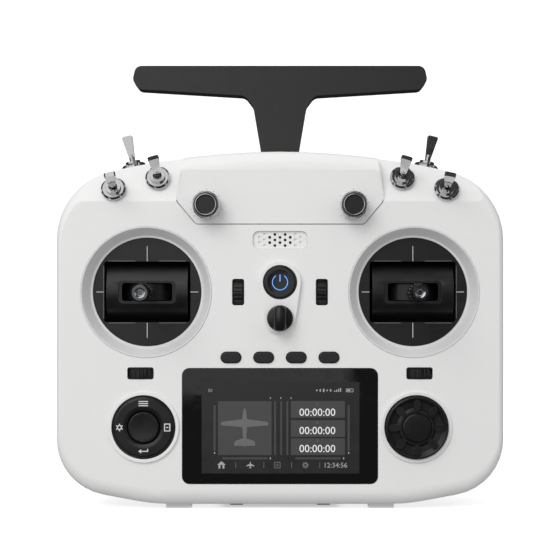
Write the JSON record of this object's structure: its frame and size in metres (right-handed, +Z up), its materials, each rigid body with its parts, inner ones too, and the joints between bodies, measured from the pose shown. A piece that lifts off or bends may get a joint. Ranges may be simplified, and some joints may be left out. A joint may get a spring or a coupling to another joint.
{
  "type": "radio transmitter controller",
  "caption": "Hand-held radio transmitter with two sticks, toggle switches, round dials, a display and a folding T-shaped antenna.",
  "frame": {"origin": "bottom centre of the object's box, on the surface that the feet stand on", "axes": "+Z up, the control face looks towards -Y, +X to the right as the face is seen"},
  "size_m": [0.17, 0.07, 0.1733],
  "materials": {
    "case_white": "fine matt moulded",
    "dish_white": "satin moulded",
    "satin_black": "satin moulded",
    "gloss_black": "polished",
    "screen": "polished, with a lit display behind it",
    "soft_black": "matt",
    "grip_rubber": "matt, ribbed",
    "chrome": "mirror plated",
    "steel": "turned",
    "tip_silver": "anodised silver",
    "tip_dark": "anodised dark grey",
    "screw_black": "black oxide",
    "board_green": "solder resist",
    "cell_wrap": "shrink sleeve",
    "inner_grey": "moulded"
  },
  "bodies": {
    "root": {"front_shell": "case_white", "rear_shell": "case_white", "top_fascia": "case_white", "centre_plinth": "case_white", "speaker_grille": "case_white", "speaker_driver": "inner_grey", "screen_glass": "screen", "lcd_module": "inner_grey", "main_board": "board_green", "dial_bezels": "case_white", "gimbal_bezels": "dish_white", "gimbal_plates": "satin_black", "gimbal_frames": "inner_grey", "gimbal_bearings": "steel", "trim_frames": "satin_black", "pot_collars": "chrome", "pot_bodies": "steel", "toggle_nuts": "chrome", "toggle_bodies": "chrome", "antenna_bracket": "satin_black", "antenna_pin": "steel", "feet": "case_white", "port_cover": "soft_black", "jack_socket": "satin_black", "battery_cells": "cell_wrap", "rear_grips": "grip_rubber", "screws": "screw_black"},
    "shield_left": {"gimbal_shield_left": "satin_black"},
    "stick_left": {"gimbal_yoke_left": "satin_black", "stick_shaft_left": "satin_black", "stick_tip_left": "tip_silver"},
    "shield_right": {"gimbal_shield_right": "satin_black"},
    "stick_right": {"gimbal_yoke_right": "satin_black", "stick_shaft_right": "satin_black", "stick_tip_right": "tip_dark"},
    "trim_left_v": {"trim_wheel_left_v": "satin_black"},
    "trim_right_v": {"trim_wheel_right_v": "satin_black"},
    "trim_left_h": {"trim_wheel_left_h": "satin_black"},
    "trim_right_h": {"trim_wheel_right_h": "satin_black"},
    "key_1": {"soft_key_1": "soft_black"},
    "key_2": {"soft_key_2": "soft_black"},
    "key_3": {"soft_key_3": "soft_black"},
    "key_4": {"soft_key_4": "soft_black"},
    "power_button": {"power_button": "gloss_black"},
    "function_knob": {"function_knob": "satin_black"},
    "pot_left": {"pot_knob_left": "satin_black"},
    "pot_right": {"pot_knob_right": "satin_black"},
    "nav_rocker": {"nav_rocker": "inner_grey"},
    "nav_ring": {"nav_ring": "satin_black"},
    "nav_button": {"nav_button": "gloss_black"},
    "encoder_wheel": {"encoder_wheel": "satin_black"},
    "encoder_button": {"encoder_button": "gloss_black"},
    "toggle_a": {"toggle_lever_a": "chrome"},
    "toggle_b": {"toggle_lever_b": "chrome"},
    "toggle_c": {"toggle_lever_c": "chrome"},
    "toggle_d": {"toggle_lever_d": "chrome"},
    "toggle_e": {"toggle_lever_e": "chrome"},
    "toggle_f": {"toggle_lever_f": "chrome"},
    "antenna": {"antenna": "satin_black"},
    "battery_door": {"battery_door": "case_white"}
  },
  "joints": [
    {"name": "stick_left_up_down", "type": "hinge", "parent": "root", "child": "shield_left", "pos_m": [-0.0506, 0.0045, 0.0825], "axis": [-1, 0, 0], "range_deg": [-25, 25]},
    {"name": "stick_left_sideways", "type": "hinge", "parent": "shield_left", "child": "stick_left", "pos_m": [-0.0506, 0.0045, 0.0825], "axis": [0, 0, 1], "range_deg": [-25, 25], "stiffness_Nm_per_rad": 0.03},
    {"name": "stick_right_up_down", "type": "hinge", "parent": "root", "child": "shield_right", "pos_m": [0.0506, 0.0045, 0.0825], "axis": [-1, 0, 0], "range_deg": [-25, 25], "stiffness_Nm_per_rad": 0.03},
    {"name": "stick_right_sideways", "type": "hinge", "parent": "shield_right", "child": "stick_right", "pos_m": [0.0506, 0.0045, 0.0825], "axis": [0, 0, 1], "range_deg": [-25, 25], "stiffness_Nm_per_rad": 0.03},
    {"name": "trim_left_v_roll", "type": "hinge", "parent": "root", "child": "trim_left_v", "pos_m": [-0.0158, -0.0076, 0.0825], "axis": [1, 0, 0], "range_deg": [-12, 12], "stiffness_Nm_per_rad": 0.02},
    {"name": "trim_right_v_roll", "type": "hinge", "parent": "root", "child": "trim_right_v", "pos_m": [0.0158, -0.0076, 0.0825], "axis": [1, 0, 0], "range_deg": [-12, 12], "stiffness_Nm_per_rad": 0.02},
    {"name": "trim_left_h_roll", "type": "hinge", "parent": "root", "child": "trim_left_h", "pos_m": [-0.0527, -0.0076, 0.0518], "axis": [0, 0, 1], "range_deg": [-12, 12], "stiffness_Nm_per_rad": 0.02},
    {"name": "trim_right_h_roll", "type": "hinge", "parent": "root", "child": "trim_right_h", "pos_m": [0.0527, -0.0076, 0.0518], "axis": [0, 0, 1], "range_deg": [-12, 12], "stiffness_Nm_per_rad": 0.02},
    {"name": "key_1_press", "type": "slide", "parent": "root", "child": "key_1", "axis": [0, 1, 0], "range_m": [0, 0.0004], "stiffness_N_per_m": 900},
    {"name": "key_2_press", "type": "slide", "parent": "root", "child": "key_2", "axis": [0, 1, 0], "range_m": [0, 0.0004], "stiffness_N_per_m": 900},
    {"name": "key_3_press", "type": "slide", "parent": "root", "child": "key_3", "axis": [0, 1, 0], "range_m": [0, 0.0004], "stiffness_N_per_m": 900},
    {"name": "key_4_press", "type": "slide", "parent": "root", "child": "key_4", "axis": [0, 1, 0], "range_m": [0, 0.0004], "stiffness_N_per_m": 900},
    {"name": "power_press", "type": "slide", "parent": "root", "child": "power_button", "axis": [0, 1, 0], "range_m": [0, 0.0005], "stiffness_N_per_m": 900},
    {"name": "function_knob_turn", "type": "hinge", "parent": "root", "child": "function_knob", "pos_m": [0, -0.012, 0.0727], "axis": [0, 1, 0], "range_deg": [-140, 140]},
    {"name": "pot_left_turn", "type": "hinge", "parent": "root", "child": "pot_left", "pos_m": [-0.0277, -0.012, 0.1152], "axis": [0, 1, 0], "range_deg": [-140, 140]},
    {"name": "pot_right_turn", "type": "hinge", "parent": "root", "child": "pot_right", "pos_m": [0.0277, -0.012, 0.1152], "axis": [0, 1, 0], "range_deg": [-140, 140]},
    {"name": "nav_up_down", "type": "hinge", "parent": "root", "child": "nav_rocker", "pos_m": [-0.0515, -0.0089, 0.0315], "axis": [1, 0, 0], "range_deg": [-2.5, 2.5], "stiffness_Nm_per_rad": 0.3},
    {"name": "nav_left_right", "type": "hinge", "parent": "nav_rocker", "child": "nav_ring", "pos_m": [-0.0515, -0.0089, 0.0315], "axis": [0, 0, 1], "range_deg": [-2.5, 2.5], "stiffness_Nm_per_rad": 0.3},
    {"name": "nav_press", "type": "slide", "parent": "root", "child": "nav_button", "axis": [0, 1, 0], "range_m": [0, 0.0006], "stiffness_N_per_m": 900},
    {"name": "encoder_turn", "type": "hinge", "parent": "root", "child": "encoder_wheel", "pos_m": [0.0515, -0.012, 0.0315], "axis": [0, 1, 0], "continuous": true},
    {"name": "encoder_press", "type": "slide", "parent": "encoder_wheel", "child": "encoder_button", "axis": [0, 1, 0], "range_m": [0, 0.0005], "stiffness_N_per_m": 900},
    {"name": "toggle_a_flip", "type": "hinge", "parent": "root", "child": "toggle_a", "pos_m": [-0.063, -0.01193, 0.12177], "axis": [0.9781, 0.0779, 0.1928], "range_deg": [-12.5, 12.5]},
    {"name": "toggle_b_flip", "type": "hinge", "parent": "root", "child": "toggle_b", "pos_m": [-0.0464, -0.01019, 0.12607], "axis": [0.9511, 0.1158, 0.2865], "range_deg": [0, 25]},
    {"name": "toggle_c_flip", "type": "hinge", "parent": "root", "child": "toggle_c", "pos_m": [0.0464, -0.01019, 0.12607], "axis": [0.9511, -0.1158, -0.2865], "range_deg": [0, 25]},
    {"name": "toggle_d_flip", "type": "hinge", "parent": "root", "child": "toggle_d", "pos_m": [0.063, -0.01193, 0.12177], "axis": [0.9781, -0.0779, -0.1928], "range_deg": [-12.5, 12.5]},
    {"name": "toggle_e_flip", "type": "hinge", "parent": "root", "child": "toggle_e", "pos_m": [-0.0579, 0.0117, 0.13255], "axis": [0.9744, 0, 0.225], "range_deg": [-12.5, 12.5]},
    {"name": "toggle_f_flip", "type": "hinge", "parent": "root", "child": "toggle_f", "pos_m": [0.0579, 0.0117, 0.13255], "axis": [0.9744, 0, -0.225], "range_deg": [-12.5, 12.5]},
    {"name": "antenna_fold", "type": "hinge", "parent": "root", "child": "antenna", "pos_m": [0, 0.026, 0.1195], "axis": [-1, 0, 0], "range_deg": [0, 90]},
    {"name": "battery_door_open", "type": "hinge", "parent": "root", "child": "battery_door", "pos_m": [0, 0.0319, 0.0212], "axis": [-1, 0, 0], "range_deg": [0, 95]}
  ]
}
